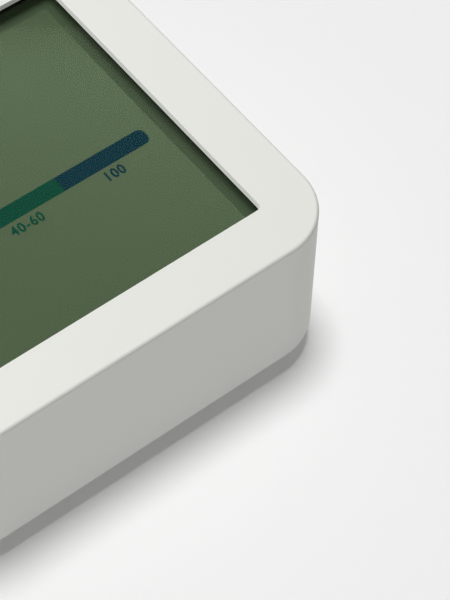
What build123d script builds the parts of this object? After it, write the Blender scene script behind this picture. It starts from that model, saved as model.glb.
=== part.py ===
from build123d import *
from math import atan2, degrees, radians, tan
import os

# Smart thermo-hygrometer: a square white case that lies on its back, display upwards.
# +Z is the display's normal, +X its right side and +Y its upper edge. The origin is on
# the resting face under the middle of the case. All sizes are in millimetres.

# Window and display stack, from the front face inwards
window = 40.7
window_corner = 0.4
window_slope = 20.0
lip = 0.5
adhesive = 0.12
adhesive_width = 1.0
lens_thickness = 1.5
lens_margin = 1.45
lens_corner = 1.5
lens_fit = 0.15
display_gap = 0.3
polariser = 0.2
polariser_inset = 0.2
glass = 0.7
glass_margin = 1.15
contact_ledge = 2.3
reflector = 0.25

# Holder that carries the display glass over the board
frame_fit = 0.1
frame_wall = 0.4
frame_floor = 1.0
strip_width = 1.6
strip_length = 38.0

# Board and the room for the parts on its upper side
board_thickness = 1.2
board_fit = 0.5
parts_room = 2.53
board_gap = 0.35

# Two AAA cells side by side along X
cell_diameter = 10.5
cell_length = 44.5
cell_nub_diameter = 3.8
cell_nub_height = 0.8
cell_gap = 0.3
cell_fit = 0.25
cell_spacing = 0.7
bay_wall = 1.0
bay_roof = 0.9
bay_clearance = 0.6

# Battery contacts
contact_thickness = 0.35
contact_width = 8.4
contact_height = 8.0
contact_tab = 1.4
contact_tab_end = 0.7
spring_length = 3.4
spring_wire = 0.5
spring_base = 5.6
spring_tip = 3.2
spring_turns = 2
wire_sides = 6

# Case
wall = 1.5
corner_radius = 7.8
draft = 1.0
edge_round = 0.4
rear_step = 3.7
boss_diameter = 3.2
boss_gap = 0.2
boss_land = 0.6
web = 1.2

# Ventilation of the sensor through the upper wall
vent_count = 5
vent_width = 1.0
vent_height = 5.0
vent_pitch = 1.9
sensor_x = 11.0
sensor_size = 2.5
sensor_height = 0.9
chamber_width = 10.6
chamber_depth = 6.2
chamber_wall = 0.9
membrane = 0.3
membrane_margin = 0.7
membrane_fit = 0.02

# Chassis that closes the case from behind
chassis_plate = 1.4
chassis_recess = 0.3
chassis_gap = 0.3
island_width = 10.8
island_length = 8.9
island_flush = 0.3
island_chamfer = 0.4

# Back cover, its hooks and its slide
cover_inset = 2.0
cover_skin = 1.3
cover_wall = 1.4
cover_chamfer = 0.7
cover_gap = 0.2
notch_gap = 0.4
cover_travel = 4.0
hook_width = 4.0
hook_post = 1.6
hook_foot = 2.6
hook_foot_height = 1.0
hook_gap = 0.2
hook_boss_gap = 1.6
grip_count = 4
grip_pitch = 1.6
grip_width = 0.7
grip_length = 7.0
grip_depth = 0.35

# Magnets that hold the back to a steel sheet
magnet_diameter = 8.0
magnet_height = 1.5
magnet_fit = 0.1
magnet_skin = 0.8
magnet_rim = 0.8

# Fold-out stand and its pin
stand_width = 25.6
stand_length = 27.5
stand_thickness = 1.4
stand_corner = 3.0
stand_flush = 0.15
stand_gap = 0.15
stand_side_gap = 0.3
stand_panel_margin = 3.4
stand_panel_depth = 0.5
pocket_floor = 1.0
barrel_diameter = 2.3
barrel_gap = 0.25
barrel_cap = 0.5
pin_diameter = 1.2
pin_clearance = 0.05
pin_press = 0.01
lug = 1.4
scoop_diameter = 10.0
heel_gap = 0.3
hinge_inset = 6.2

# Button and the switch behind it
button_diameter = 5.6
button_clearance = 0.15
button_flush = 0.5
button_chamfer = 0.3
button_dish = 0.2
button_dish_diameter = 3.8
button_flange_diameter = 7.4
button_flange = 0.8
button_stem = 3.0
button_travel = 0.5
switch_size = 4.5
switch_height = 3.2
plunger_diameter = 2.4
plunger_height = 0.6
plunger_clearance = 0.1
plunger_seat = 0.5

# Screws: case screws and board screws
screw_diameter = 1.6
screw_length = 6.5
screw_head_diameter = 2.9
screw_head = 0.9
board_screw_diameter = 1.4
board_screw_length = 4.0
board_screw_head_diameter = 2.5
board_screw_head = 0.8
board_boss_diameter = 2.9
board_screw_margin = 1.05
screw_row_gap = 4.6
screw_fit = 0.02
screw_pass = 0.1
head_fit = 0.1

# Parts on the upper side of the board
radio_size = 6.0
radio_height = 0.9
driver_size = 9.0
driver_height = 1.4
crystal_length = 3.2
crystal_width = 2.5
crystal_height = 0.8
chip_length = 1.6
chip_width = 0.8
chip_height = 0.8
chip_count = 6
chip_pitch = 2.4

# Heights, upwards from the resting face
pocket_depth = stand_flush + stand_thickness + stand_gap
pocket_top = pocket_depth + pocket_floor
cell_radius = cell_diameter / 2
cell_z = pocket_top + cell_gap + cell_radius
bay_ceiling = cell_z + cell_radius + cell_fit
bay_top = bay_ceiling + bay_roof
board_z = bay_top + board_gap
board_top = board_z + board_thickness
frame_floor_z = board_top + parts_room
reflector_z = frame_floor_z + frame_floor
rear_glass_z = reflector_z + reflector
front_glass_z = rear_glass_z + glass
polariser_z = front_glass_z + glass
lens_z = polariser_z + polariser + display_gap
adhesive_z = lens_z + lens_thickness
lip_z = adhesive_z + adhesive
case_top = lip_z + lip
rim_z = rear_step
chassis_z = rim_z + chassis_recess
chassis_top = chassis_z + chassis_plate
cover_top = rim_z - cover_gap
bezel_z = lens_z - frame_fit / 2

# Half widths, outwards from the middle
view_half = window / 2
glass_half = view_half + glass_margin
frame_half = glass_half + frame_fit + frame_wall
ledge_y = glass_half + contact_ledge
frame_y = ledge_y + frame_fit + frame_wall
bay_half = (cell_length + spring_length + 2 * contact_thickness) / 2
display_side = frame_half + boss_gap + boss_diameter + boss_land
cell_side = bay_half + bay_wall + bay_clearance
ledge_side = frame_y + bay_clearance
inner_half = max(display_side, cell_side, ledge_side)
case_half = inner_half + wall
case_size = 2 * case_half
inner_corner = corner_radius - wall
cell_y = (cell_diameter + cell_spacing) / 2
bay_y = cell_y + cell_radius + cell_fit
bay_outer_y = bay_y + bay_wall
boss_x = inner_half - boss_land - boss_diameter / 2
board_screw_y = bay_outer_y + board_screw_head_diameter / 2 + board_screw_margin
boss_y = board_screw_y + screw_row_gap
board_slope = (board_top - rim_z) * tan(radians(draft))
board_half = inner_half - board_slope - board_fit
chassis_half = inner_half - chassis_gap
cover_half = case_half - cover_inset
cover_corner = corner_radius - cover_inset
hook_x = boss_x - boss_diameter / 2 - hook_boss_gap - hook_width / 2
hook_y = bay_outer_y + cover_travel + hook_post
magnet_x = (stand_width / 2 + stand_side_gap + lug + cover_half - cover_wall) / 2

# Places of the button and of the stand's hinge
button_y = cover_half - island_length / 2
island_y = cover_half - island_length
plunger_z = board_z - switch_height - plunger_height
axis_z = stand_flush + barrel_diameter / 2
barrel_room = barrel_diameter / 2 + barrel_gap
axis_y = hinge_inset - cover_half
pocket_half = stand_width / 2 + stand_side_gap
pocket_end = axis_y + stand_length + stand_side_gap
heel_y = axis_y - (axis_z - stand_flush) - heel_gap


def block(x0, x1, y0, y1, z0, z1):
    """Box between two corners."""
    low = (Align.MIN, Align.MIN, Align.MIN)
    return Pos(x0, y0, z0) * Box(x1 - x0, y1 - y0, z1 - z0, align=low)


def disc(x, y, z0, z1, diameter):
    """Upright round bar between two heights."""
    base = (Align.CENTER, Align.CENTER, Align.MIN)
    return Pos(x, y, z0) * Cylinder(diameter / 2, z1 - z0, align=base)


def rod(x0, x1, y, z, diameter):
    """Round bar along X."""
    base = (Align.CENTER, Align.CENTER, Align.MIN)
    return Pos(x0, y, z) * Rot(0, 90, 0) * Cylinder(diameter / 2, x1 - x0, align=base)


def slab(width, height, radius, z0, z1, x=0.0, y=0.0):
    """Plate with rounded corners between two heights."""
    return Pos(x, y, z0) * extrude(RectangleRounded(width, height, radius), z1 - z0)


def four(x, y):
    """The four places that mirror one place in both middle planes."""
    return [(i * x, j * y) for i in (-1, 1) for j in (-1, 1)]


def tapered(size, radius, z0, z1):
    """Square block with rounded corners that narrows upwards by the draft."""
    return Pos(0, 0, z0) * extrude(RectangleRounded(size, size, radius), z1 - z0, taper=draft)


def front_housing():
    """One-piece bezel and side walls with screw bosses and sensor vents."""
    shell = tapered(case_size, corner_radius, rim_z, case_top)
    shell = fillet(shell.faces().sort_by(Axis.Z)[-1].edges(), edge_round)
    shell -= tapered(2 * inner_half, inner_corner, rim_z, bezel_z)
    lens_room = window + 2 * (lens_margin + lens_fit)
    shell -= slab(lens_room, lens_room, lens_corner, bezel_z, lip_z)
    mouth = RectangleRounded(window, window, window_corner)
    shell -= Pos(0, 0, lip_z) * extrude(mouth, lip, taper=-window_slope)
    for x, y in four(boss_x, boss_y):
        shell += case_boss(x, y, chassis_top, boss_diameter)
    for x, y in board_screw_places():
        shell += case_boss(x, y, board_top, board_boss_diameter)
    for x, y in four(boss_x, boss_y):
        depth = screw_length - (chassis_plate - screw_head)
        shell -= disc(x, y, chassis_top, chassis_top + depth, screw_diameter + 2 * screw_fit)
    for x, y in board_screw_places():
        depth = board_screw_length - board_thickness
        shell -= disc(x, y, board_top, board_top + depth, board_screw_diameter + 2 * screw_fit)
    return shell - vents()


def board_screw_places():
    """Places of the two screws that hold the board, on a diagonal."""
    return [(boss_x, board_screw_y), (-boss_x, -board_screw_y)]


def case_boss(x, y, z0, diameter):
    """Screw boss from the bezel down, joined to the side wall by a web."""
    side = 1 if x > 0 else -1
    reach = side * (inner_half + wall / 3)
    boss = disc(x, y, z0, bezel_z, diameter)
    return boss + block(min(x, reach), max(x, reach), y - web / 2, y + web / 2, z0, bezel_z)


def vents():
    """Row of upright slots through the upper wall, in front of the sensor."""
    z0 = (chassis_top + board_z - vent_height) / 2
    slots = []
    for i in range(vent_count):
        x = sensor_x - vent_width / 2 + (i - (vent_count - 1) / 2) * vent_pitch
        slots.append(block(x, x + vent_width, chassis_half, case_half, z0, z0 + vent_height))
    return slots


def lens():
    """Clear window, glued behind the lip of the bezel."""
    size = window + 2 * lens_margin
    return slab(size, size, lens_corner, lens_z, adhesive_z)


def lens_adhesive():
    """Frame of double-sided tape between the lens and the lip."""
    size = window + 2 * lens_margin
    ring = slab(size, size, lens_corner, adhesive_z, lip_z)
    hole = size - 2 * adhesive_width
    return ring - slab(hole, hole, window_corner, adhesive_z, lip_z)


def front_polariser():
    """Polarising film on the display's front glass."""
    half = glass_half - polariser_inset
    return block(-half, half, -half, half, polariser_z, polariser_z + polariser)


def front_glass():
    """Larger glass of the display, with the contact ledge along its upper edge."""
    return block(-glass_half, glass_half, -glass_half, ledge_y, front_glass_z, polariser_z)


def rear_glass():
    """Smaller glass of the display."""
    return block(-glass_half, glass_half, -glass_half, glass_half, rear_glass_z, front_glass_z)


def reflector_film():
    """Rear polariser with the reflector that gives the display its ground."""
    half = glass_half - polariser_inset
    return block(-half, half, -half, half, reflector_z, rear_glass_z)


def display_frame():
    """Holder: tray for the glass, skirt down to the board, slot for the contact strip."""
    top = polariser_z + polariser
    frame = block(-frame_half, frame_half, -frame_half, frame_y, board_top, top)
    fit = glass_half + frame_fit
    frame -= block(-fit, fit, -fit, ledge_y + frame_fit, front_glass_z, top)
    frame -= block(-fit, fit, -fit, fit, reflector_z, front_glass_z)
    frame -= block(-fit, fit, -fit, fit - frame_wall, board_top, frame_floor_z)
    y = contact_strip_y()
    slot_half = strip_length / 2 + frame_fit
    edge = strip_width / 2 + frame_fit
    frame -= block(-slot_half, slot_half, y - edge, y + edge, board_top, front_glass_z)
    return frame


def contact_strip_y():
    """Middle of the contact ledge."""
    return glass_half + contact_ledge / 2


def contact_strip():
    """Striped silicone strip that joins the board's pads to the glass ledge."""
    y = contact_strip_y()
    half = strip_length / 2
    edge = strip_width / 2
    return block(-half, half, y - edge, y + edge, board_top, front_glass_z)


def main_board():
    """Circuit board with notches round the case bosses and slots for the contact tabs."""
    corner = inner_corner - board_fit
    board = slab(2 * board_half, 2 * board_half, corner, board_z, board_top)
    notch = boss_diameter / 2 + boss_gap
    for x, y in four(boss_x, boss_y):
        board -= disc(x, y, board_z, board_top, 2 * notch)
        edge = (1 if x > 0 else -1) * inner_half
        board -= block(min(x, edge), max(x, edge), y - notch, y + notch, board_z, board_top)
    for x, y in board_screw_places():
        board -= disc(x, y, board_z, board_top, board_screw_diameter + 2 * screw_pass)
    for x, y in tab_places():
        board -= tab(x, y, board_z, board_top, screw_pass)
    return board


def tab_places():
    """Inner face of each contact plate that reaches the board, with its middle."""
    return [(bay_half, cell_y), (bay_half, -cell_y)]


def tab(x, y, z0, z1, grow):
    """Upright tab of a contact plate, or with growth the slot round it."""
    half = contact_tab / 2 + grow
    return block(x - contact_thickness - grow, x + grow, y - half, y + half, z0, z1)


def on_board(x, y, length, width, height):
    """Small package on the upper side of the board."""
    package = Box(length, width, height, align=(Align.CENTER, Align.CENTER, Align.MIN))
    return Pos(x, y, board_top) * chamfer(package.faces().sort_by(Axis.Z)[-1].edges(), height / 8)


def radio_chip():
    """Radio and processor in one square package."""
    return on_board(-radio_size, radio_size, radio_size, radio_size, radio_height)


def display_driver():
    """Display driver package."""
    return on_board(driver_size, -driver_size / 2, driver_size, driver_size, driver_height)


def crystal():
    """Crystal in its metal can, beside the radio chip."""
    return on_board(-radio_size, -crystal_length, crystal_length, crystal_width, crystal_height)


def chip_parts():
    """Row of small capacitors and resistors."""
    row = []
    for i in range(chip_count):
        x = (i - (chip_count - 1) / 2) * chip_pitch
        row.append(on_board(x, -2 * radio_size, chip_width, chip_length, chip_height))
    return Compound(row)


def humidity_sensor():
    """Combined temperature and humidity sensor under the board, behind the vents."""
    half = sensor_size / 2
    y = sensor_y()
    body = block(sensor_x - half, sensor_x + half, y - half, y + half, board_z - sensor_height, board_z)
    return body - disc(sensor_x, y, board_z - sensor_height, board_z - sensor_height / 2, half)


def sensor_y():
    """Middle of the sensor, inside its chamber."""
    return chamber_back() + chamber_depth / 2


def chamber_back():
    """Inner edge of the sensor chamber."""
    return chassis_half - chamber_depth


def chamber(z0, z1):
    """Three walls round the sensor's air space, open towards the vents."""
    half = chamber_width / 2
    front = chassis_half - membrane
    room = block(sensor_x - half, sensor_x + half, chamber_back(), front, z0, z1)
    inner = half - chamber_wall
    back = chamber_back() + chamber_wall
    return room - block(sensor_x - inner, sensor_x + inner, back, inner_half, z0, z1)


def sensor_seal():
    """Foam seal between the sensor chamber and the board."""
    return chamber(bay_top, board_z)


def vent_membrane():
    """Thin porous patch on the inside of the upper wall, over the vents."""
    width = (vent_count - 1) * vent_pitch + vent_width + 2 * membrane_margin
    height = vent_height + 2 * membrane_margin
    z = (chassis_top + board_z) / 2
    y = inner_half - (z - rim_z) * tan(radians(draft)) - membrane / 2 - membrane_fit
    return Pos(sensor_x, y, z) * Rot(draft, 0, 0) * Box(width, membrane, height)


def tact_switch():
    """Housing of the push switch under the board."""
    half = switch_size / 2
    z0 = board_z - switch_height
    body = block(-half, half, button_y - half, button_y + half, z0, board_z)
    well = plunger_diameter + 2 * plunger_clearance
    return body - disc(0, button_y, z0, z0 + plunger_seat + 2 * button_travel, well)


def switch_plunger():
    """Plunger of the push switch, which the button's stem pushes."""
    top = board_z - switch_height + plunger_seat
    return disc(0, button_y, plunger_z, top, plunger_diameter)


def button():
    """Round button with a dished face, a flange that keeps it in and a stem to the switch."""
    face = disc(0, button_y, button_flush, chassis_top, button_diameter)
    face = chamfer(face.faces().sort_by(Axis.Z)[0].edges(), button_chamfer)
    face -= disc(0, button_y, button_flush, button_flush + button_dish, button_dish_diameter)
    flange = disc(0, button_y, chassis_top, chassis_top + button_flange, button_flange_diameter)
    return face + flange + disc(0, button_y, chassis_top, plunger_z, button_stem)


def screw(x, y, z, head_diameter, head, diameter, length):
    """Screw with its head downwards and its shank upwards from the height of its seat."""
    return disc(x, y, z - head, z, head_diameter) + disc(x, y, z, z + length, diameter)


def case_screws():
    """Four screws that hold the chassis in the case."""
    seat = chassis_z + screw_head
    places = four(boss_x, boss_y)
    size = (screw_head_diameter, screw_head, screw_diameter, screw_length)
    return Compound([screw(x, y, seat, *size) for x, y in places])


def board_screws():
    """Two screws that hold the board."""
    size = (board_screw_head_diameter, board_screw_head, board_screw_diameter, board_screw_length)
    return Compound([screw(x, y, board_z, *size) for x, y in board_screw_places()])


def rear_chassis():
    """Plate with the battery bay, the sensor chamber, the button's island and the hook slots."""
    body = slab(2 * chassis_half, 2 * chassis_half, inner_corner, chassis_z, chassis_top)
    end = bay_half + bay_wall
    body += block(-end, end, -bay_outer_y, bay_outer_y, chassis_z, bay_top)
    body += chamber(chassis_z, bay_top)
    half = island_width / 2
    island = block(-half, half, island_y, cover_half, island_flush, chassis_z)
    island = chamfer(island.edges().filter_by(Axis.Z).sort_by(Axis.Y)[:2], island_chamfer)
    island = chamfer(island.faces().sort_by(Axis.Z)[0].edges(), island_chamfer)
    body += island
    for y in (-cell_y, cell_y):
        body -= rod(-bay_half, bay_half, y, cell_z, cell_diameter + 2 * cell_fit)
    body -= block(-bay_half, bay_half, -bay_y, bay_y, chassis_z, cell_z)
    body -= contact_pockets()
    for x, y in tab_places():
        body -= tab(x, y, cell_z, bay_top, screw_pass)
    body -= disc(0, button_y, island_flush, chassis_top, button_diameter + 2 * button_clearance)
    for x, y in four(boss_x, boss_y):
        body -= disc(x, y, chassis_z, chassis_z + screw_head, screw_head_diameter + 2 * head_fit)
        body -= disc(x, y, chassis_z, chassis_top, screw_diameter + 2 * screw_pass)
    for x, y in four(hook_x, hook_y):
        body -= hook_slot(x, y)
    return body


def contact_pockets():
    """Flat rooms at both ends of the bay for the contact plates and springs."""
    z0 = cell_z - contact_height / 2
    z1 = cell_z + contact_height / 2
    depth = spring_length + contact_thickness
    half = cell_y + contact_width / 2
    left = block(-bay_half, -bay_half + depth, -half, half, z0, z1)
    right = block(bay_half - depth, bay_half, -half, half, z0, z1)
    return [left, right]


def hook_slot(x, y):
    """Slot that one hook drops into and slides along."""
    half = hook_width / 2 + hook_gap
    y0 = y - hook_post / 2 - cover_travel - hook_gap
    return block(x - half, x + half, y0, y + hook_post / 2 + hook_gap, chassis_z, chassis_top)


def contact_plate(x, y, side):
    """Plate against one end of the bay, on the side given."""
    inner = x - side * contact_thickness
    z0 = cell_z - contact_height / 2
    half = contact_width / 2
    return block(min(x, inner), max(x, inner), y - half, y + half, z0, z0 + contact_height)


def cone_spring(x, y, side):
    """Conical spring from a plate towards the cell; side points away from the cell."""
    start = x - side * contact_thickness
    reach = spring_length - spring_wire
    slope = degrees(atan2((spring_base - spring_tip) / 2, reach))
    path = Helix(
        pitch=reach / spring_turns,
        height=reach,
        radius=(spring_base - spring_wire) / 2,
        center=(start - side * spring_wire / 3, y, cell_z),
        direction=(-side, 0, 0),
        cone_angle=-slope,
    )
    section = Plane(path @ 0, z_dir=path % 0) * RegularPolygon(spring_wire / 2, wire_sides)
    return sweep(section, path=path, is_frenet=True)


def contact_positive():
    """Plate under the upper cell's positive end, with its tab to the board."""
    x, y = tab_places()[0]
    return contact_plate(x, y, 1) + tab(x, y, cell_z, board_top + contact_tab_end, 0)


def contact_negative():
    """Plate and spring under the lower cell's negative end, with the tab to the board."""
    x, y = tab_places()[1]
    plate = contact_plate(x, y, 1) + tab(x, y, cell_z, board_top + contact_tab_end, 0)
    return plate + cone_spring(x, y, 1)


def contact_link():
    """Plate that joins both cells at the other end, with one spring."""
    x = -bay_half
    z0 = cell_z - contact_height / 4
    bridge = block(x, x + contact_thickness, -cell_y, cell_y, z0, z0 + contact_height / 2)
    plate = contact_plate(x, cell_y, -1) + contact_plate(x, -cell_y, -1) + bridge
    return plate + cone_spring(x, cell_y, -1)


def cell(y, side):
    """AAA cell whose positive nub points to the given side."""
    body_length = cell_length - cell_nub_height
    tip = side * (bay_half - contact_thickness)
    shoulder = tip - side * cell_nub_height
    end = shoulder - side * body_length
    body = rod(min(shoulder, end), max(shoulder, end), y, cell_z, cell_diameter)
    return body + rod(min(shoulder, tip), max(shoulder, tip), y, cell_z, cell_nub_diameter)


def back_cover():
    """Tray with the stand's pocket, magnet seats, hooks, grip grooves and button notch."""
    size = 2 * cover_half
    tray = slab(size, size, cover_corner, 0, cover_top)
    tray = chamfer(tray.faces().sort_by(Axis.Z)[0].edges(), cover_chamfer)
    room = size - 2 * cover_wall
    tray -= slab(room, room, cover_corner - cover_wall, cover_skin, cover_top)
    tray += pocket_body()
    for side in (-1, 1):
        rim = magnet_diameter + 2 * (magnet_fit + magnet_rim)
        tray += disc(side * magnet_x, 0, cover_skin, magnet_skin + magnet_height, rim)
    for side in (-1, 1):
        seat = magnet_diameter + 2 * magnet_fit
        tray -= disc(side * magnet_x, 0, magnet_skin, cover_top, seat)
    tray -= pocket_room()
    tray -= rod(-pocket_half - lug, pocket_half + lug, axis_y, axis_z, pin_diameter + 2 * pin_press)
    for x, y in four(hook_x, hook_y):
        tray += hook(x, y)
    tray -= button_notch()
    return tray - grip_grooves()


def pocket_body():
    """Raised floor and walls of the stand's pocket on the inner side of the cover."""
    half = pocket_half + lug
    end = pocket_end + scoop_diameter / 2 + pocket_floor
    y0 = heel_y - pocket_floor
    body = block(-half, half, y0, pocket_end + pocket_floor, 0, pocket_top)
    body += disc(0, pocket_end, 0, pocket_top, scoop_diameter + 2 * pocket_floor)
    barrel_top = axis_z + barrel_room + barrel_cap
    y1 = axis_y + barrel_room + pocket_floor
    body += block(-half, half, y0, y1, 0, barrel_top)
    return body & block(-half, half, y0, end, cover_chamfer, barrel_top)


def pocket_room():
    """Space for the folded stand, its barrel and a fingertip."""
    room = block(-pocket_half, pocket_half, heel_y, pocket_end, 0, pocket_depth)
    ends = room.edges().filter_by(Axis.Z).sort_by(Axis.Y)[-2:]
    room = fillet(ends, stand_corner)
    finger = disc(0, pocket_end, 0, pocket_depth, scoop_diameter)
    barrel = rod(-pocket_half, pocket_half, axis_y, axis_z, 2 * barrel_room)
    throat = block(-pocket_half, pocket_half, heel_y, axis_y + barrel_room, 0, axis_z)
    return room + finger + barrel + throat


def hook(x, y):
    """Post and foot that reach through the chassis and over its plate."""
    half = hook_width / 2
    edge = hook_post / 2
    foot_z = chassis_top + hook_gap
    top = foot_z + hook_foot_height
    post = block(x - half, x + half, y - edge, y + edge, cover_skin, top)
    return post + block(x - half, x + half, y - edge, y + edge + hook_foot, foot_z, top)


def button_notch():
    """Opening at the upper edge of the cover, round the button's island."""
    half = island_width / 2 + notch_gap
    return block(-half, half, island_y - notch_gap, case_half, 0, cover_top)


def grip_grooves():
    """Shallow grooves for the thumbs, on both sides of the stand."""
    grooves = []
    for side in (-1, 1):
        for i in range(grip_count):
            y = -hook_y + hook_post + i * grip_pitch
            x0 = side * magnet_x - grip_length / 2
            groove = block(x0, x0 + grip_length, y - grip_width / 2, y + grip_width / 2, 0, grip_depth)
            grooves.append(groove)
    return grooves


def magnets():
    """Two disc magnets in the cover."""
    z1 = magnet_skin + magnet_height
    return Compound([disc(side * magnet_x, 0, magnet_skin, z1, magnet_diameter) for side in (-1, 1)])


def stand():
    """Flat leg with a barrel along its hinge end and a sunk panel on its outer face."""
    half = stand_width / 2
    z1 = stand_flush + stand_thickness
    y1 = axis_y + stand_length
    leg = block(-half, half, axis_y, y1, stand_flush, z1)
    leg = fillet(leg.edges().filter_by(Axis.Z).sort_by(Axis.Y)[-2:], stand_corner)
    margin = stand_panel_margin
    panel_y0 = axis_y + barrel_diameter / 2 + margin
    panel = slab(
        2 * (half - margin),
        y1 - margin - panel_y0,
        stand_corner / 2,
        stand_flush,
        stand_flush + stand_panel_depth,
        y=(y1 - margin + panel_y0) / 2,
    )
    leg += rod(-half, half, axis_y, axis_z, barrel_diameter)
    leg -= panel
    return leg - rod(-half, half, axis_y, axis_z, pin_diameter + 2 * pin_clearance)


def stand_pin():
    """Steel pin of the stand, held in the cover."""
    end = pocket_half + lug
    return rod(-end, end, axis_y, axis_z, pin_diameter)


def write_parts():
    """One STEP file for each piece."""
    pieces = {
        "front_housing": front_housing(),
        "display_lens": lens(),
        "lens_adhesive": lens_adhesive(),
        "front_polariser": front_polariser(),
        "front_glass": front_glass(),
        "rear_glass": rear_glass(),
        "reflector_film": reflector_film(),
        "display_frame": display_frame(),
        "contact_strip": contact_strip(),
        "main_board": main_board(),
        "radio_chip": radio_chip(),
        "display_driver": display_driver(),
        "crystal": crystal(),
        "chip_parts": chip_parts(),
        "humidity_sensor": humidity_sensor(),
        "sensor_seal": sensor_seal(),
        "vent_membrane": vent_membrane(),
        "tact_switch": tact_switch(),
        "switch_plunger": switch_plunger(),
        "button": button(),
        "case_screws": case_screws(),
        "board_screws": board_screws(),
        "rear_chassis": rear_chassis(),
        "contact_positive": contact_positive(),
        "contact_negative": contact_negative(),
        "contact_link": contact_link(),
        "upper_cell": cell(cell_y, 1),
        "lower_cell": cell(-cell_y, -1),
        "back_cover": back_cover(),
        "magnets": magnets(),
        "stand": stand(),
        "stand_pin": stand_pin(),
    }
    os.makedirs("parts", exist_ok=True)
    for name, piece in pieces.items():
        export_step(piece, f"parts/{name}.step")


write_parts()
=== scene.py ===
import math
import bmesh
import bpy
from bpy.props import FloatProperty, FloatVectorProperty, PointerProperty
from mathutils import Matrix, Vector


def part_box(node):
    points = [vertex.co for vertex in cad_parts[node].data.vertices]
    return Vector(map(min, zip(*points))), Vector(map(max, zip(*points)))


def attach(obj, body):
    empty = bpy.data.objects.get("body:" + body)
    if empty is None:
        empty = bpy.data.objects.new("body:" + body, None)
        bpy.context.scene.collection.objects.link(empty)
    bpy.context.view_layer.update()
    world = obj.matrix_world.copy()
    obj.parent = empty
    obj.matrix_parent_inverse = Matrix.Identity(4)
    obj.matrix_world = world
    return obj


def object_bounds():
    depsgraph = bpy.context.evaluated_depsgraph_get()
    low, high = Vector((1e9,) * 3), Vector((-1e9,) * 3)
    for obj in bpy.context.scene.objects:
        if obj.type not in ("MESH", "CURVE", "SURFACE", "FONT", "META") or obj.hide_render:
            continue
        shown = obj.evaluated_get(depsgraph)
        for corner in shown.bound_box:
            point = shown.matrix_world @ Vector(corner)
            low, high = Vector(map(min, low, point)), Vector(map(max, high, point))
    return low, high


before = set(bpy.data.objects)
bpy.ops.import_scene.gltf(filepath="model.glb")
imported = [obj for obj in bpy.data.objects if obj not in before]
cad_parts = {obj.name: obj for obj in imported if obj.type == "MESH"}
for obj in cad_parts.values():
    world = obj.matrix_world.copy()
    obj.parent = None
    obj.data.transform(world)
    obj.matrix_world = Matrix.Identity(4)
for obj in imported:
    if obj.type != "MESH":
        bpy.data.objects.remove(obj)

bl_info = {
    "name": "Thermo-hygrometer",
    "version": (1, 0, 0),
    "blender": (4, 5, 0),
    "location": "View3D > Sidebar > Thermo-hygrometer",
    "description": "Finishes, scale and studio of a square thermo-hygrometer",
    "category": "Object",
}

CAD_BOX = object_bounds()
MM = 0.001
MERGE_DISTANCE = 0.0001 * MM
FLOOR_HALF_WIDTH = 3.0
FLOOR_GAP = 0.02 * MM


def linear(code):
    """Linear RGB of an sRGB hex colour."""
    values = [int(code[i:i + 2], 16) / 255 for i in (1, 3, 5)]
    return tuple(v / 12.92 if v <= 0.04045 else ((v + 0.055) / 1.055) ** 2.4 for v in values)


def colour(name, description, code):
    """A colour property whose default is an sRGB hex value."""
    return FloatVectorProperty(
        name=name, description=description, default=linear(code), subtype="COLOR", min=0, max=1
    )


def length(name, description, millimetres):
    """A length property whose default is given in millimetres."""
    return FloatProperty(name=name, description=description, default=millimetres * MM, unit="LENGTH")


def angle(name, description, degrees):
    """An angle property whose default is given in degrees."""
    return FloatProperty(name=name, description=description, default=math.radians(degrees), subtype="ANGLE")


def amount(name, description, value):
    """A property for a plain number that isn't negative."""
    return FloatProperty(name=name, description=description, default=value, min=0)


# Settings that a user would change


class CaseSettings(bpy.types.PropertyGroup):
    """Colours and grain of the moulded case."""

    shell: colour("Shell", "Colour of the moulded shell", "#E3E4DE")
    press: colour("Button", "Colour of the push button", "#DCDDD8")
    inner: colour("Inner plastic", "Colour of the display holder", "#D5D5D0")
    grain: length("Grain", "Size of one grain of the moulded surface", 0.28)
    grain_depth: length("Grain depth", "Height of the moulded grain", 0.0012)


class DisplaySettings(bpy.types.PropertyGroup):
    """Colours of the display and the colour scale printed on it."""

    ground: colour("Ground", "Display ground", "#5D6C55")
    bar_right: length("Bar's right end", "Right end of the colour bar", 17.7)
    bar_section: length("Bar section", "Width of one section of the bar", 12.04)
    bar_bottom: length("Bar's lower edge", "Lower edge of the colour bar", -4.32)
    bar_height: length("Bar height", "Height of the colour bar", 2.2)
    bar_corner: length("Bar corner", "Corner radius of the bar's ends", 0.85)
    ink_thickness: length("Ink thickness", "Thickness of the printed ink", 0.015)
    number_height: length("Number height", "Height of the scale's numbers", 1.42)
    number_bottom: length("Numbers' lower edge", "Lower edge of the scale's numbers", -6.25)
    number_weight: amount("Number weight", "How much the numbers' strokes are thickened", 0.03)
    number_narrowing: amount("Number narrowing", "How wide the numbers are, against plain ones", 0.88)
    number_spacing: amount("Number spacing", "Distance between a number's digits, against plain ones", 1.15)
    dry: colour("Dry section", "Ink of the section for dry air", "#64601A")
    comfort: colour("Comfort section", "Ink of the section for comfortable air", "#044535")
    wet: colour("Wet section", "Ink of the section for damp air", "#08313F")


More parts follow.
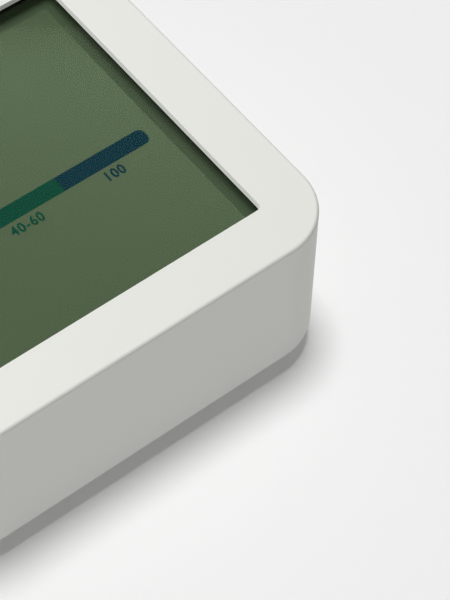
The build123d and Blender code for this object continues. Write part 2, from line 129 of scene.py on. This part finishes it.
class StudioSettings(bpy.types.PropertyGroup):
    """Floor, lamps, mirrored ceiling and camera."""

    floor: colour("Floor", "Colour of the floor", "#ECECEC")
    floor_glow: amount("Floor glow", "Light that the paper adds to its own picture", 0.09)
    fill: amount("Fill", "Strength of the light from all round", 0.14)
    backdrop: amount("Backdrop", "Brightness of the picture where nothing stands", 0.86)
    lamp: amount("Softbox", "Power of the softbox over the object", 2.48)
    lamp_size: length("Softbox size", "Width of the softbox", 310)
    lamp_distance: length("Lamp distance", "Distance of the lamps from the object", 520)
    lamp_tilt: angle("Softbox tilt", "Lean of the softbox towards the upper edge", 20)
    lamp_lean: angle("Softbox lean", "Lean of the softbox towards the left", 5)
    side_lamp: amount("Side lamp", "Power of the lamp that lights the window's right wall", 0.5)
    side_tilt: angle("Side lamp's tilt", "Lean of the side lamp towards the upper edge", -15)
    side_lean: angle("Side lamp's lean", "Lean of the side lamp towards the left", 58)
    floor_lamp: amount("Floor light", "Strength of the light on the floor", 2.4)
    floor_lamp_size: angle("Floor light's size", "Angle across the light on the floor", 18)
    floor_lamp_tilt: angle("Floor light's tilt", "Lean of the light on the floor towards the upper edge", 5.8)
    floor_lamp_lean: angle("Floor light's lean", "Lean of the light on the floor towards the left", -0.3)
    ceiling: amount("Ceiling", "Brightness of the pale ceiling that the display mirrors", 1.0)
    ceiling_distance: length("Ceiling distance", "Distance of the ceiling from the mirrored camera", 862)
    ceiling_left: length("Ceiling's left edge", "Left edge of the ceiling in the mirrored picture", -140)
    ceiling_right: length("Ceiling's right edge", "Right edge of the ceiling in the mirrored picture", 90)
    ceiling_bottom: length("Ceiling's lower edge", "Lower edge of the ceiling in the mirrored picture", -120)
    ceiling_top: length("Ceiling's upper edge", "Upper edge of the ceiling in the mirrored picture", 107)
    lens: FloatProperty(name="Lens", description="Focal length of the camera", default=131.8, unit="CAMERA")
    camera_place: FloatVectorProperty(
        name="Camera's place", description="Place of the camera, fitted to the photograph",
        default=(-76.706 * MM, -127.647 * MM, 216.293 * MM), subtype="TRANSLATION", precision=5,
    )
    camera_right: FloatVectorProperty(
        name="Camera's right", description="Direction of the picture's right side, fitted to the photograph",
        default=(0.78662, -0.61654, 0.03325), subtype="DIRECTION",
    )
    camera_up: FloatVectorProperty(
        name="Camera's up", description="Direction of the picture's upper side, fitted to the photograph",
        default=(0.49397, 0.66072, 0.56519), subtype="DIRECTION",
    )


# Shader helpers


def add_node(tree, kind, inputs=None, links=None, **settings):
    """Adds a shader node with its settings, input values and incoming links."""
    made = tree.nodes.new(kind)
    for name, value in settings.items():
        setattr(made, name, value)
    for socket, value in (inputs or {}).items():
        made.inputs[socket].default_value = value
    for socket, source in (links or {}).items():
        tree.links.new(source, made.inputs[socket])
    return made


def start_material(name):
    """An empty node material, its tree and its object coordinates."""
    made = bpy.data.materials.new(name)
    made.use_nodes = True
    made.node_tree.nodes.clear()
    place = add_node(made.node_tree, "ShaderNodeTexCoord").outputs["Object"]
    return made, made.node_tree, place


def close_material(made, shader):
    """Links the shader to the material's output."""
    add_node(made.node_tree, "ShaderNodeOutputMaterial", links={"Surface": shader.outputs[0]})
    return made


def rgba(values):
    """Colour with full alpha."""
    return (*values[:3], 1.0)


def per_size(millimetres):
    """Texture scale that gives a pattern of this size."""
    return 1 / (millimetres * MM)


def grain_bump(tree, place, size, depth):
    """Bump of fine grain with a size and a depth in millimetres."""
    noise = add_node(
        tree, "ShaderNodeTexNoise", {"Scale": per_size(size), "Detail": 2.0}, {"Vector": place}
    )
    return add_node(
        tree, "ShaderNodeBump", {"Strength": 1.0, "Distance": depth * MM}, {"Height": noise.outputs["Fac"]}
    )


def mottle(tree, place, size, dark, light):
    """Soft change between two colours over patches of a size in millimetres."""
    noise = add_node(
        tree, "ShaderNodeTexNoise", {"Scale": per_size(size), "Detail": 3.0}, {"Vector": place}
    )
    return add_node(
        tree, "ShaderNodeMix", {"A": rgba(dark), "B": rgba(light)}, {"Factor": noise.outputs["Fac"]},
        data_type="RGBA",
    )


def scaled(values, factor):
    """Colour made lighter or darker."""
    return tuple(min(1.0, v * factor) for v in values[:3])


def solid_finish(name, base, roughness, grain, depth, metallic=0.0, spread=0.03, patch=9.0, sheen=0.5):
    """Opaque finish with a fine grain and a slight change of tone."""
    made, tree, place = start_material(name)
    tone = mottle(tree, place, patch, scaled(base, 1 - spread), scaled(base, 1 + spread))
    bump = grain_bump(tree, place, grain, depth)
    shader = add_node(
        tree, "ShaderNodeBsdfPrincipled",
        {"Roughness": roughness, "Metallic": metallic, "Specular IOR Level": sheen},
        {"Base Color": tone.outputs["Result"], "Normal": bump.outputs["Normal"]},
    )
    return close_material(made, shader)


def banded_finish(name, axis, bands, roughness, metallic):
    """Opaque finish in straight bands across one axis, from (start in mm, colour) pairs."""
    made, tree, place = start_material(name)
    low = bands[0][0]
    high = bands[-1][0]
    parts = add_node(tree, "ShaderNodeSeparateXYZ", links={"Vector": place})
    reach = add_node(
        tree, "ShaderNodeMapRange",
        {"From Min": low * MM, "From Max": high * MM},
        {"Value": parts.outputs[axis]},
    )
    ramp = add_node(tree, "ShaderNodeValToRGB", links={"Fac": reach.outputs["Result"]})
    ramp.color_ramp.interpolation = "CONSTANT"
    while len(ramp.color_ramp.elements) < len(bands) - 1:
        ramp.color_ramp.elements.new(1.0)
    for element, (start, shade) in zip(ramp.color_ramp.elements, bands):
        element.position = (start - low) / (high - low)
        element.color = rgba(shade)
    bump = grain_bump(tree, place, size=0.2, depth=0.001)
    shader = add_node(
        tree, "ShaderNodeBsdfPrincipled",
        {"Roughness": roughness, "Metallic": metallic},
        {"Base Color": ramp.outputs["Color"], "Normal": bump.outputs["Normal"]},
    )
    return close_material(made, shader)


def clear_finish(name, tint, ior, roughness):
    """Thin clear sheet: see-through straight on, mirror-like at a flat angle."""
    made, tree, _ = start_material(name)
    gloss = add_node(tree, "ShaderNodeBsdfGlossy", {"Color": (1, 1, 1, 1), "Roughness": roughness})
    clear = add_node(tree, "ShaderNodeBsdfTransparent", {"Color": rgba(tint)})
    edge = add_node(tree, "ShaderNodeFresnel", {"IOR": ior})
    side = add_node(tree, "ShaderNodeNewGeometry")
    # Only the face that the light meets first mirrors it
    outer = add_node(
        tree, "ShaderNodeMath", links={0: edge.outputs[0], 1: side.outputs["Backfacing"]},
        operation="SUBTRACT", use_clamp=True,
    )
    shader = add_node(
        tree, "ShaderNodeMixShader",
        links={0: outer.outputs[0], 1: clear.outputs[0], 2: gloss.outputs[0]},
    )
    return close_material(made, shader)


# Materials of the case


def moulded_abs(settings):
    """Injection-moulded ABS with a spark-eroded satin: even, pale and slightly warm."""
    return solid_finish(
        "moulded_abs", settings.shell,
        roughness=0.5, grain=settings.grain / MM, depth=settings.grain_depth / MM, spread=0.006, sheen=0.25,
    )


def button_abs(settings):
    """The same ABS, a little smoother where fingers polish it."""
    return solid_finish(
        "button_abs", settings.press,
        roughness=0.34, grain=0.22, depth=0.001, spread=0.01, patch=3.0,
    )


def holder_abs(settings):
    """Unpainted ABS of the inner holder, with faint flow marks."""
    return solid_finish(
        "holder_abs", settings.inner,
        roughness=0.5, grain=0.3, depth=0.002, spread=0.03, patch=14.0,
    )


# Materials of the window and the display


def cast_acrylic():
    """Polished acrylic, clear. Its index is low, so that the display under it stays easy to read."""
    return clear_finish("cast_acrylic", linear("#FBFDFA"), ior=1.14, roughness=0.02)


def float_glass():
    """Float glass of the display, with its slight green and a sharp reflection."""
    return clear_finish("float_glass", linear("#EAF3EA"), ior=1.52, roughness=0.0)


def acrylic_tape():
    """White double-sided tape, dull, with faint clouds of glue."""
    return solid_finish(
        "acrylic_tape", linear("#D9D9D4"),
        roughness=0.6, grain=0.3, depth=0.004, spread=0.03, patch=1.5,
    )


def closed_cell_foam():
    """Black closed-cell foam tape, dull, with cells that just show."""
    return solid_finish(
        "closed_cell_foam", linear("#26282A"),
        roughness=0.85, grain=0.18, depth=0.03, spread=0.15, patch=0.4,
    )


def display_film(settings):
    """Polariser over the reflector: grey-green, mostly matt, with a soft mirror image of the studio."""
    made, tree, place = start_material("display_film")
    grain_size, grain_change, mirror_share = 0.12, 0.01, 0.4
    grain = add_node(
        tree, "ShaderNodeTexNoise", {"Scale": per_size(grain_size), "Detail": 1.0}, {"Vector": place}
    )
    level = add_node(
        tree, "ShaderNodeMapRange", {"To Min": 1 - grain_change, "To Max": 1 + grain_change},
        {"Value": grain.outputs["Fac"]},
    )
    shade = add_node(
        tree, "ShaderNodeHueSaturation", {"Color": rgba(settings.ground)}, {"Value": level.outputs["Result"]}
    )
    matt = add_node(tree, "ShaderNodeBsdfDiffuse", links={"Color": shade.outputs["Color"]})
    mirror = add_node(
        tree, "ShaderNodeBsdfGlossy", {"Roughness": 0.1}, {"Color": shade.outputs["Color"]}
    )
    shader = add_node(
        tree, "ShaderNodeMixShader", {0: mirror_share}, {1: matt.outputs[0], 2: mirror.outputs[0]}
    )
    return close_material(made, shader)


def rear_reflector():
    """Reflective film behind the glass: silvery grey-green with a pearl grain."""
    return solid_finish(
        "rear_reflector", linear("#8F9C86"),
        roughness=0.35, grain=0.1, depth=0.004, metallic=0.6, spread=0.08, patch=0.3,
    )


def striped_silicone():
    """Silicone strip with its dark conductive layers every 0.2 mm."""
    made, tree, place = start_material("striped_silicone")
    # At scale 1 the wave texture has twenty radians of wave to the metre
    scale = per_size(0.2) * math.tau / 20
    stripes = add_node(tree, "ShaderNodeTexWave", {"Scale": scale}, {"Vector": place}, bands_direction="X")
    shade = add_node(
        tree, "ShaderNodeMix", {"A": rgba(linear("#1B1B1D")), "B": rgba(linear("#C9C6C0"))},
        {"Factor": stripes.outputs["Fac"]}, data_type="RGBA",
    )
    shader = add_node(
        tree, "ShaderNodeBsdfPrincipled", {"Roughness": 0.6}, {"Base Color": shade.outputs["Result"]}
    )
    return close_material(made, shader)


def screen_ink(name, shade):
    """Translucent screen ink, which the dark display under it makes deep and dull."""
    return solid_finish(
        name, shade,
        roughness=0.6, grain=0.15, depth=0.001, spread=0.04, patch=0.25, sheen=0.05,
    )


# Materials of the electronics


def solder_mask():
    """Green solder mask with copper tracks that show as lighter lines."""
    made, tree, place = start_material("solder_mask")
    track_height = 0.02 * MM
    tracks = add_node(
        tree, "ShaderNodeTexBrick",
        {
            "Scale": per_size(1.0),
            "Brick Width": 4.2,
            "Row Height": 1.1,
            "Mortar Size": 0.12,
            "Color1": rgba(linear("#14502B")),
            "Color2": rgba(linear("#185A31")),
            "Mortar": rgba(linear("#2F7A48")),
        },
        {"Vector": place},
    )
    bump = add_node(
        tree, "ShaderNodeBump", {"Strength": 1.0, "Distance": track_height}, {"Height": tracks.outputs["Fac"]}
    )
    shader = add_node(
        tree, "ShaderNodeBsdfPrincipled", {"Roughness": 0.32},
        {"Base Color": tracks.outputs["Color"], "Normal": bump.outputs["Normal"]},
    )
    return close_material(made, shader)


def moulded_epoxy():
    """Black moulded epoxy of the chip packages, dull with a fine grain."""
    return solid_finish(
        "moulded_epoxy", linear("#2A2A2C"),
        roughness=0.55, grain=0.08, depth=0.003, spread=0.05, patch=0.8,
    )


def ceramic_chips():
    """Small ceramic parts: tan body between two tinned ends."""
    low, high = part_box("chip_parts")
    start, end = low.y / MM, high.y / MM
    cap = (end - start) / 5
    tin, body = linear("#C8C8C4"), linear("#9A7B55")
    bands = [(start - cap, tin), (start + cap, body), (end - cap, tin), (end + cap, tin)]
    return banded_finish("ceramic_chips", "Y", bands, roughness=0.4, metallic=0.0)


def sensor_package():
    """White moulded sensor package."""
    return solid_finish(
        "sensor_package", linear("#D9D9D4"),
        roughness=0.45, grain=0.1, depth=0.002, spread=0.03, patch=0.8,
    )


def porous_membrane():
    """Stretched porous film: dull white with a fibre grain."""
    return solid_finish(
        "porous_membrane", linear("#E9E9E6"),
        roughness=0.9, grain=0.15, depth=0.02, spread=0.05, patch=0.3,
    )


def switch_nylon():
    """Dark nylon of the push switch."""
    return solid_finish(
        "switch_nylon", linear("#2C2D30"),
        roughness=0.5, grain=0.15, depth=0.002, spread=0.05, patch=1.5,
    )


def plunger_acetal():
    """Ivory acetal of the switch's plunger, slightly waxy."""
    return solid_finish(
        "plunger_acetal", linear("#D9D2BD"),
        roughness=0.35, grain=0.2, depth=0.001, spread=0.03, patch=1.5,
    )


# Materials of the power supply and the metal parts


def nickel_plate():
    """Nickel plate on spring steel: warm grey metal with a soft shine."""
    return solid_finish(
        "nickel_plate", linear("#C6C1B6"),
        roughness=0.28, grain=0.12, depth=0.002, metallic=1.0, spread=0.05, patch=1.2,
    )


def zinc_plate():
    """Zinc-plated steel: bluish grey metal with a fine spangle."""
    return solid_finish(
        "zinc_plate", linear("#B4B8BC"),
        roughness=0.36, grain=0.1, depth=0.003, metallic=1.0, spread=0.08, patch=0.6,
    )


def ground_steel():
    """Ground steel of the stand's pin, smooth and bright."""
    return solid_finish(
        "ground_steel", linear("#BFC0C2"),
        roughness=0.22, grain=0.08, depth=0.001, metallic=1.0, spread=0.03, patch=2.0,
    )


def cell_wrap(node, positive_right):
    """Printed film on a steel can: dark body, copper-toned band at the positive end, bare metal ends."""
    low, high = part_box(node)
    start, end = low.x / MM, high.x / MM
    metal, dark, band = linear("#BDBDBA"), linear("#24272B"), linear("#9A5B2E")
    # Bare rim of the can and coloured band, in millimetres
    edge, wide = 1.6, 9.0
    if positive_right:
        film = [(start + edge, dark), (end - wide, band)]
    else:
        film = [(start + edge, band), (start + wide, dark)]
    bands = [(start, metal), *film, (end - edge, metal), (end, metal)]
    return banded_finish(f"{node}_wrap", "X", bands, roughness=0.3, metallic=0.25)


# Mesh helpers


def add_piece(name, mesh_builder, material, body):
    """Turns a bmesh into a named piece with a material, riding on a body."""
    mesh = bpy.data.meshes.new(name)
    bmesh.ops.remove_doubles(mesh_builder, verts=mesh_builder.verts, dist=MERGE_DISTANCE)
    bmesh.ops.recalc_face_normals(mesh_builder, faces=mesh_builder.faces)
    mesh_builder.to_mesh(mesh)
    mesh_builder.free()
    mesh.materials.append(material)
    made = bpy.data.objects.new(name, mesh)
    bpy.context.scene.collection.objects.link(made)
    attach(made, body)
    return made


def dress(node, material):
    """Gives a CAD node its material."""
    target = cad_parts[node]
    target.data.materials.clear()
    target.data.materials.append(material)


def printed_block(x0, x1, y0, y1, z, thickness, bar_ends, radius):
    """Flat printed patch. Its corners are rounded where they lie at one of the bar's ends."""
    made = bmesh.new()
    corners = [made.verts.new((x, y, z)) for x, y in ((x0, y0), (x1, y0), (x1, y1), (x0, y1))]
    patch = made.faces.new(corners)
    rounded = [v for v in corners if min(abs(v.co.x - x) for x in bar_ends) < radius]
    if rounded:
        bmesh.ops.bevel(
            made, geom=rounded, offset=radius, segments=10, profile=0.5, affect="VERTICES", material=-1
        )
        patch = made.faces[:][0]
    lifted = bmesh.ops.extrude_face_region(made, geom=[patch])["geom"]
    moved = [part for part in lifted if isinstance(part, bmesh.types.BMVert)]
    bmesh.ops.translate(made, verts=moved, vec=(0, 0, thickness))
    return made


def scale_number(words, settings, x, z):
    """Printed number of the scale, centred on a place along the bar."""
    outline = bpy.data.curves.new("number_outline", type="FONT")
    outline.body = words
    # Any thickness will do here, because the mesh is scaled to the ink's thickness
    outline.extrude = 0.01
    outline.offset = settings.number_weight
    outline.space_character = settings.number_spacing
    outline.resolution_u = 6
    holder = bpy.data.objects.new("number_outline", outline)
    bpy.context.scene.collection.objects.link(holder)
    bpy.context.view_layer.update()
    flat = bpy.data.meshes.new_from_object(holder.evaluated_get(bpy.context.evaluated_depsgraph_get()))
    bpy.data.objects.remove(holder)
    bpy.data.curves.remove(outline)
    made = bmesh.new()
    made.from_mesh(flat)
    bpy.data.meshes.remove(flat)
    low = Vector([min(v.co[i] for v in made.verts) for i in range(3)])
    high = Vector([max(v.co[i] for v in made.verts) for i in range(3)])
    size = settings.number_height / (high.y - low.y)
    depth = settings.ink_thickness / (high.z - low.z)
    middle = (low.x + high.x) / 2
    bmesh.ops.translate(made, verts=made.verts, vec=(-middle, -low.y, -low.z))
    bmesh.ops.scale(made, verts=made.verts, vec=(size * settings.number_narrowing, size, depth))
    bmesh.ops.translate(made, verts=made.verts, vec=(x, settings.number_bottom, z))
    return made


# Studio


def make_floor(settings):
    """Plain pale floor that can be seen through from beneath."""
    builder = bmesh.new()
    bmesh.ops.create_grid(builder, x_segments=1, y_segments=1, size=FLOOR_HALF_WIDTH)
    bmesh.ops.translate(builder, verts=builder.verts, vec=(0, 0, CAD_BOX[0].z - FLOOR_GAP))
    mesh = bpy.data.meshes.new("floor")
    builder.to_mesh(mesh)
    builder.free()
    made, tree, _ = start_material("matt_paper")
    paper = add_node(tree, "ShaderNodeBsdfDiffuse", {"Color": rgba(settings.floor), "Roughness": 0.0})
    glow = add_node(tree, "ShaderNodeEmission", {"Strength": settings.floor_glow})
    lit = add_node(tree, "ShaderNodeAddShader", links={0: paper.outputs[0], 1: glow.outputs[0]})
    clear = add_node(tree, "ShaderNodeBsdfTransparent")
    side = add_node(tree, "ShaderNodeNewGeometry")
    shader = add_node(
        tree, "ShaderNodeMixShader",
        links={0: side.outputs["Backfacing"], 1: lit.outputs[0], 2: clear.outputs[0]},
    )
    mesh.materials.append(close_material(made, shader))
    floor = bpy.data.objects.new("floor", mesh)
    bpy.context.scene.collection.objects.link(floor)
    return floor


def leaning(tilt, lean):
    """Turn of a lamp from straight down, towards the upper edge and towards the left."""
    return Matrix.Rotation(-lean, 4, "Y") @ Matrix.Rotation(-tilt, 4, "X")


def add_lamp(name, kind, turn, distance, receivers, **settings):
    """Lamp aimed at the middle of the front, which lights only what its receivers say."""
    data = bpy.data.lights.new(name, type=kind)
    for setting, value in settings.items():
        setattr(data, setting, value)
    lamp = bpy.data.objects.new(name, data)
    aim = Vector((0, 0, CAD_BOX[1].z))
    lamp.matrix_world = Matrix.Translation(aim + turn @ Vector((0, 0, distance))) @ turn
    bpy.context.scene.collection.objects.link(lamp)
    lamp.light_linking.receiver_collection = receivers


def lit_things(name, floor, state):
    """Receivers of a lamp: the floor alone with INCLUDE, all but the floor with EXCLUDE."""
    made = bpy.data.collections.new(name)
    made.objects.link(floor)
    made.collection_objects[0].light_linking.link_state = state
    return made


def make_light(settings, floor):
    """Softbox over the object, a side lamp from the left and a light for the floor."""
    distance = settings.lamp_distance
    all_but_floor = lit_things("all_but_floor", floor, "EXCLUDE")
    add_lamp(
        "softbox", "AREA", leaning(settings.lamp_tilt, settings.lamp_lean), distance, all_but_floor,
        shape="DISK", size=settings.lamp_size, energy=settings.lamp,
    )
    add_lamp(
        "side_lamp", "AREA", leaning(settings.side_tilt, settings.side_lean), distance, all_but_floor,
        shape="DISK", size=settings.lamp_size / 2, energy=settings.side_lamp,
    )
    add_lamp(
        "floor_light", "SUN", leaning(settings.floor_lamp_tilt, settings.floor_lamp_lean), distance,
        lit_things("floor_alone", floor, "INCLUDE"),
        angle=settings.floor_lamp_size, energy=settings.floor_lamp,
    )


def make_surroundings(settings):
    """Weak light from all round, behind which the picture shows the brighter backdrop."""
    world = bpy.data.worlds.new("studio")
    world.use_nodes = True
    world.node_tree.nodes.clear()
    tree = world.node_tree
    path = add_node(tree, "ShaderNodeLightPath")
    level = add_node(
        tree, "ShaderNodeMapRange", {"To Min": settings.fill, "To Max": settings.backdrop},
        {"Value": path.outputs["Is Camera Ray"]},
    )
    back = add_node(
        tree, "ShaderNodeBackground", {"Color": (1, 1, 1, 1)}, {"Strength": level.outputs["Result"]}
    )
    add_node(tree, "ShaderNodeOutputWorld", links={"Surface": back.outputs[0]})
    bpy.context.scene.world = world


def make_camera(settings):
    """Camera above the lower left corner, turned a little, as in the photograph."""
    data = bpy.data.cameras.new("camera")
    data.lens = settings.lens
    data.sensor_width = 36.0
    data.clip_start = 0.01
    camera = bpy.data.objects.new("camera", data)
    right = Vector(settings.camera_right)
    up = Vector(settings.camera_up)
    back = right.cross(up).normalized()
    turn = Matrix((right, up, back)).transposed().to_4x4()
    camera.matrix_world = Matrix.Translation(settings.camera_place) @ turn
    bpy.context.scene.collection.objects.link(camera)
    bpy.context.scene.camera = camera
    return camera


def make_ceiling(settings, camera):
    """Pale ceiling panel that only reflections show. It stops short of the mirrored picture's top."""
    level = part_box("display_lens")[1].z
    flip = Matrix.Translation((0, 0, 2 * level)) @ Matrix.Scale(-1, 4, (0, 0, 1))
    corners = (
        (settings.ceiling_left, settings.ceiling_bottom),
        (settings.ceiling_right, settings.ceiling_bottom),
        (settings.ceiling_right, settings.ceiling_top),
        (settings.ceiling_left, settings.ceiling_top),
    )
    mirrored = flip @ camera.matrix_world
    builder = bmesh.new()
    builder.faces.new([
        builder.verts.new(mirrored @ Vector((x, y, -settings.ceiling_distance))) for x, y in corners
    ])
    mesh = bpy.data.meshes.new("ceiling")
    builder.to_mesh(mesh)
    builder.free()
    mesh.materials.append(lit_ceiling(mesh, settings.ceiling))
    panel = bpy.data.objects.new("ceiling", mesh)
    for ray in ("camera", "diffuse", "shadow", "transmission", "volume_scatter"):
        setattr(panel, f"visible_{ray}", False)
    bpy.context.scene.collection.objects.link(panel)


def lit_ceiling(mesh, brightness):
    """Glow that grows towards the panel's lower, far edge, as a ceiling does towards a window."""
    made, tree, place = start_material("lit_ceiling")
    dim, bright, steepness = 0.4, 1.6, 3.0
    heights = [v.co.z for v in mesh.vertices]
    parts = add_node(tree, "ShaderNodeSeparateXYZ", links={"Vector": place})
    fall = add_node(
        tree, "ShaderNodeMapRange", {"From Min": max(heights), "From Max": min(heights)},
        {"Value": parts.outputs["Z"]},
    )
    curve = add_node(tree, "ShaderNodeMath", {1: steepness}, {0: fall.outputs["Result"]}, operation="POWER")
    glow = add_node(
        tree, "ShaderNodeMapRange", {"To Min": dim * brightness, "To Max": bright * brightness},
        {"Value": curve.outputs[0]},
    )
    light = add_node(tree, "ShaderNodeEmission", links={"Strength": glow.outputs["Result"]})
    return close_material(made, light)


# Operators, one for each group of pieces


class MakeCase(bpy.types.Operator):
    """Finish the housing, chassis, cover, stand and button"""

    bl_idname = "thermo.make_case"
    bl_label = "Case"

    def execute(self, context):
        settings = context.scene.thermo_case
        shell = moulded_abs(settings)
        for node in ("front_housing", "rear_chassis", "back_cover", "stand"):
            dress(node, shell)
        dress("button", button_abs(settings))
        dress("display_frame", holder_abs(settings))
        return {"FINISHED"}


class MakeWindow(bpy.types.Operator):
    """Finish the clear lens and its tape"""

    bl_idname = "thermo.make_window"
    bl_label = "Window"

    def execute(self, context):
        dress("display_lens", cast_acrylic())
        dress("lens_adhesive", acrylic_tape())
        return {"FINISHED"}


class MakeDisplay(bpy.types.Operator):
    """Finish the display's films, glass and contact strip"""

    bl_idname = "thermo.make_display"
    bl_label = "Display"

    def execute(self, context):
        dress("front_polariser", display_film(context.scene.thermo_display))
        glass = float_glass()
        dress("front_glass", glass)
        dress("rear_glass", glass)
        dress("reflector_film", rear_reflector())
        dress("contact_strip", striped_silicone())
        return {"FINISHED"}


class MakeScale(bpy.types.Operator):
    """Print the colour bar and its numbers on the display"""

    bl_idname = "thermo.make_scale"
    bl_label = "Colour bar and numbers"

    def execute(self, context):
        settings = context.scene.thermo_display
        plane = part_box("front_polariser")[1].z
        bottom = settings.bar_bottom
        top = bottom + settings.bar_height
        sections = (
            ("dry", settings.dry, "20"),
            ("comfort", settings.comfort, "40-60"),
            ("wet", settings.wet, "100"),
        )
        left = settings.bar_right - len(sections) * settings.bar_section
        ends = (left, settings.bar_right)
        for i, (name, shade, words) in enumerate(sections):
            x0 = left + i * settings.bar_section
            x1 = x0 + settings.bar_section
            ink = screen_ink(f"{name}_ink", shade)
            builder = printed_block(
                x0, x1, bottom, top, plane, settings.ink_thickness, ends, settings.bar_corner
            )
            add_piece(f"scale_{name}", builder, ink, "case")
            number = scale_number(words, settings, (x0 + x1) / 2, plane)
            add_piece(f"number_{name}", number, ink, "case")
        return {"FINISHED"}


class MakeElectronics(bpy.types.Operator):
    """Finish the board and what it carries"""

    bl_idname = "thermo.make_electronics"
    bl_label = "Electronics"

    def execute(self, context):
        dress("main_board", solder_mask())
        epoxy = moulded_epoxy()
        dress("radio_chip", epoxy)
        dress("display_driver", epoxy)
        dress("chip_parts", ceramic_chips())
        dress("humidity_sensor", sensor_package())
        dress("sensor_seal", closed_cell_foam())
        dress("vent_membrane", porous_membrane())
        dress("tact_switch", switch_nylon())
        dress("switch_plunger", plunger_acetal())
        return {"FINISHED"}


class MakePower(bpy.types.Operator):
    """Finish the cells and their contacts"""

    bl_idname = "thermo.make_power"
    bl_label = "Cells and contacts"

    def execute(self, context):
        dress("upper_cell", cell_wrap("upper_cell", True))
        dress("lower_cell", cell_wrap("lower_cell", False))
        nickel = nickel_plate()
        for node in ("contact_positive", "contact_negative", "contact_link", "crystal", "magnets"):
            dress(node, nickel)
        return {"FINISHED"}


class MakeFasteners(bpy.types.Operator):
    """Finish the screws and the stand's pin"""

    bl_idname = "thermo.make_fasteners"
    bl_label = "Screws and pin"

    def execute(self, context):
        zinc = zinc_plate()
        dress("case_screws", zinc)
        dress("board_screws", zinc)
        dress("stand_pin", ground_steel())
        return {"FINISHED"}


class MakeStudio(bpy.types.Operator):
    """Set up the floor, the lamps, the camera and the ceiling"""

    bl_idname = "thermo.make_studio"
    bl_label = "Studio"

    def execute(self, context):
        settings = context.scene.thermo_studio
        make_light(settings, make_floor(settings))
        make_surroundings(settings)
        make_ceiling(settings, make_camera(settings))
        context.scene.view_settings.view_transform = "Standard"
        return {"FINISHED"}


class ThermoPanel(bpy.types.Panel):
    """Steps of the thermo-hygrometer, in the sidebar"""

    bl_idname = "VIEW3D_PT_thermo"
    bl_label = "Thermo-hygrometer"
    bl_space_type = "VIEW_3D"
    bl_region_type = "UI"
    bl_category = "Thermo-hygrometer"

    def draw(self, context):
        for step in STEPS:
            self.layout.operator(step.bl_idname)


SETTINGS = {"thermo_case": CaseSettings, "thermo_display": DisplaySettings, "thermo_studio": StudioSettings}
STEPS = (
    MakeStudio, MakeCase, MakeWindow, MakeDisplay, MakeScale, MakeElectronics, MakePower, MakeFasteners
)


def register():
    """Registers the settings, the steps and the panel."""
    for name, group in SETTINGS.items():
        bpy.utils.register_class(group)
        setattr(bpy.types.Scene, name, PointerProperty(type=group))
    for made in (*STEPS, ThermoPanel):
        bpy.utils.register_class(made)


def unregister():
    """Takes the settings, the steps and the panel out again."""
    for made in (ThermoPanel, *reversed(STEPS)):
        bpy.utils.unregister_class(made)
    for name, group in SETTINGS.items():
        delattr(bpy.types.Scene, name)
        bpy.utils.unregister_class(group)


def main():
    """Runs every step in order."""
    register()
    for step in STEPS:
        group, action = step.bl_idname.split(".")
        getattr(getattr(bpy.ops, group), action)()


if __name__ == "__main__":
    main()
